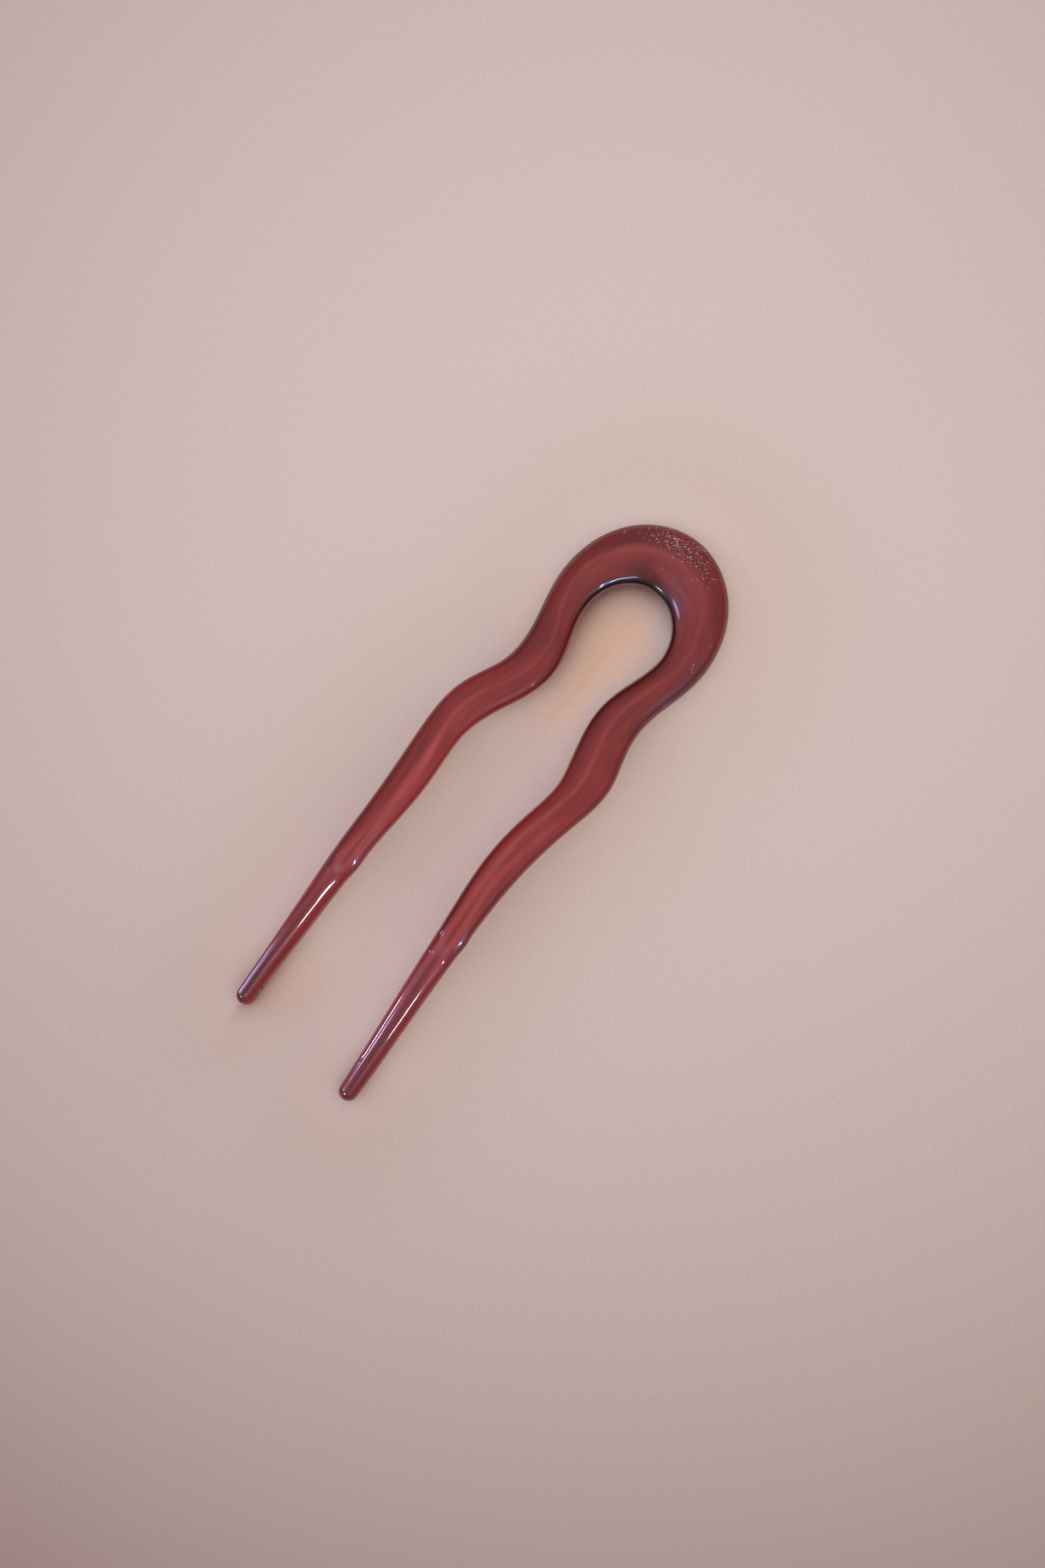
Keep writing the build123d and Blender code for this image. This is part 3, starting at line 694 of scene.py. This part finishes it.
# A soft patch on the paper: 1 less the smooth step of (distance / reach)^2, which is 0 past its reach.
def patch(place, middle, reach):
    near = paperNodes.new("ShaderNodeMapRange")
    near.interpolation_type = "SMOOTHSTEP"
    setSockets(near, {"To Min": 1.0, "To Max": 0.0})
    paperLinks.new(awayFrom(place, middle, reach), near.inputs["Value"])
    return near.outputs["Result"]


# painted shades and painted light over the paper's own colour, then the painted shade away from the middle
tints = [  # share of each, and its colour, from the lowest to the uppermost
    (readNumbers(paperNodes, "sideShade"), paperLook["paintedShadowBeside"]),
    (patch(place, paperLook["loop"], paperLook["loopReach"]), paperLook["paintedLoopLight"]),
    (patch(place, paperLook["tip"], paperLook["tipReach"]), paperLook["tipShade"]),
    (readNumbers(paperNodes, "paintedNearLight"), paperLook["near"]),
    (readNumbers(paperNodes, "rimShade"), paperLook["rim"]),
    (awayFrom(place, paperLook["middle"], paperLook["reach"]), paperLook["dim"]),
]
paperColour = paperLook["bright"]
for amount, tint in tints:
    paperColour = mixColour(paperNodes, paperLinks, amount, paperColour, tint)
grain = paperNodes.new("ShaderNodeTexNoise")
setSockets(grain, {"Scale": 1 / paperLook["grainSize"], "Detail": paperLook["grainDetail"]})
paperLinks.new(place.outputs["Object"], grain.inputs["Vector"])
paperLinks.new(shadeByNoise(paperNodes, paperLinks, grain, paperLook["grain"], paperColour),
               paperShader.inputs["Base Color"])
setSockets(paperShader, {"Roughness": paperLook["roughness"]})
floorMesh.materials.append(paper)

# Camera straight above, turned so that the crown points to the upper right of the picture
view = {"roll": 40.21, "centre": (0.00355, 0.00516), "height": 0.6520, "lens": 85.0, "sensor": 36.0}
cameraData = bpy.data.cameras.new("camera")
cameraData.lens = view["lens"]
cameraData.sensor_width = view["sensor"]
camera = putInScene("camera", cameraData)
camera.location = (*view["centre"], view["height"])
camera.rotation_euler = (0, 0, math.radians(view["roll"]))
bpy.context.scene.camera = camera
print("camera", view["lens"], "mm lens at", view["height"], "m")

# Soft windows that light the paper and the body, and panes that only show in the polish. Bearings are in
# the picture, from and to (0 is up, 90 right), and elevations in degrees. A pane is set out from a place on
# the pin (travel and share) and shines within a cone of so many degrees round its axis, as a softbox with a
# grid does.
daylight = (0.47, 0.58, 1.0)
white = (0.78, 0.89, 1.0)
skyBlue = (0.50, 0.64, 1.0)
windows = {  # bearings, elevations, brightness, colour, place on the pin, distance in metres, cone
    "leftWindow": ((277, 284), (32, 40), 8.0, daylight, None, 1.6, 90),
    "leftGlow": ((268, 292), (28, 44), 1.2, daylight, None, 1.6, 90),
    "farWindow": ((240, 262), (28, 56), 1.5, daylight, None, 1.6, 90),
    "leftTipPane": ((284, 294), (5, 20), 70.0, daylight, (0.012, 0.12), 0.16, 5),
    "rightTipPane": ((274, 286), (36, 46), 22.0, daylight, (0.975, 0.757), 0.20, 10),
    "rodPane": ((146, 155), (48, 55), 40.0, white, (0.095, 0.61), 0.6, 8),
    "rodGlow": ((159, 172), (52, 58), 1.3, daylight, (0.055, 0.52), 0.5, 12),
    "shoulderPane": ((149, 159), (55, 61), 90.0, skyBlue, (0.133, 0.79), 0.17, 4),
    "spotPane": ((156, 169), (50, 59), 60.0, skyBlue, (0.857, 0.18), 0.17, 4),
    "crownPane": ((147, 163), (33, 50), 58.0, skyBlue, (0.435, 0.87), 0.20, 5),
    "lowCrownPane": ((133, 148), (32, 44), 70.0, skyBlue, (0.431, 0.88), 0.17, 3.5),
    "corePane": ((134, 147), (44, 55), 100.0, skyBlue, (0.428, 0.85), 0.17, 3),
    "loopPane": ((250, 276), (44, 60), 10.0, daylight, (0.530, 0.87), 0.20, 14),
    "loopGlow": ((215, 238), (20, 30), 3.0, daylight, (0.503, 0.93), 0.25, 12),
    "endPane": ((208, 230), (31, 51), 36.0, white, (0.992, 0.42), 0.30, 9),
}
for name, (bearings, elevations, brightness, colour, seenFrom, distance, cone) in windows.items():
    bearing = math.radians(90 - sum(bearings) / 2 + view["roll"])
    rise = math.radians(sum(elevations) / 2)
    cone = math.radians(cone)
    data = bpy.data.lights.new(name, "AREA")
    data.shape = "RECTANGLE"
    data.size = 2 * distance * math.cos(rise) * math.tan(math.radians(bearings[1] - bearings[0]) / 2)
    data.size_y = 2 * distance * math.tan(math.radians(elevations[1] - elevations[0]) / 2)
    data.spread = 2 * cone
    data.energy = brightness * math.pi * data.size * data.size_y  # watts of a lamp this large and bright
    data.color = colour
    window = putInScene(name, data)
    levelPart = math.cos(rise)
    direction = np.array([math.cos(bearing) * levelPart, math.sin(bearing) * levelPart, math.sin(rise)])
    start = np.zeros(3)
    window.visible_glossy = seenFrom is not None
    window.visible_diffuse = seenFrom is None
    window.visible_transmission = seenFrom is None
    if seenFrom is not None:
        start = onPin(points, share, travel, *np.array(seenFrom)[:, None])[0]
        data.energy *= (math.tan(cone) - cone) / math.tan(cone)  # or a narrow cone would be brighter
    window.location = start + direction * distance
    window.rotation_euler = (math.pi / 2 - rise, 0, bearing + math.pi / 2)
print("windows", len(windows))

# The room is dim at the table's height and brightest overhead. The polish shows it dimmer than it lights
# the paper.
room = {"colour": (1.0, 0.95, 0.88), "low": 0.25, "overhead": 0.90, "inPolish": 0.55}
world = bpy.data.worlds.new("room")
bpy.context.scene.world = world
world.use_nodes = True
roomNodes, roomLinks = world.node_tree.nodes, world.node_tree.links
look = roomNodes.new("ShaderNodeTexCoord")
parts = roomNodes.new("ShaderNodeSeparateXYZ")
roomLinks.new(look.outputs["Generated"], parts.inputs["Vector"])
strength = roomNodes.new("ShaderNodeMapRange")
setSockets(strength, {"To Min": room["low"], "To Max": room["overhead"]})
roomLinks.new(parts.outputs["Z"], strength.inputs["Value"])
ray = roomNodes.new("ShaderNodeLightPath")
dimmer = roomNodes.new("ShaderNodeMapRange")
setSockets(dimmer, {"To Min": 1.0, "To Max": room["inPolish"]})
roomLinks.new(ray.outputs["Is Glossy Ray"], dimmer.inputs["Value"])
level = roomNodes.new("ShaderNodeMath")
level.operation = "MULTIPLY"
roomLinks.new(strength.outputs["Result"], level.inputs[0])
roomLinks.new(dimmer.outputs["Result"], level.inputs[1])
setSockets(roomNodes["Background"], {"Color": (*room["colour"], 1)})
roomLinks.new(level.outputs["Value"], roomNodes["Background"].inputs["Strength"])
bpy.context.scene.view_settings.view_transform = "Standard"
bpy.context.scene.view_settings.look = "Medium High Contrast"
print("room", len(roomNodes), "nodes")
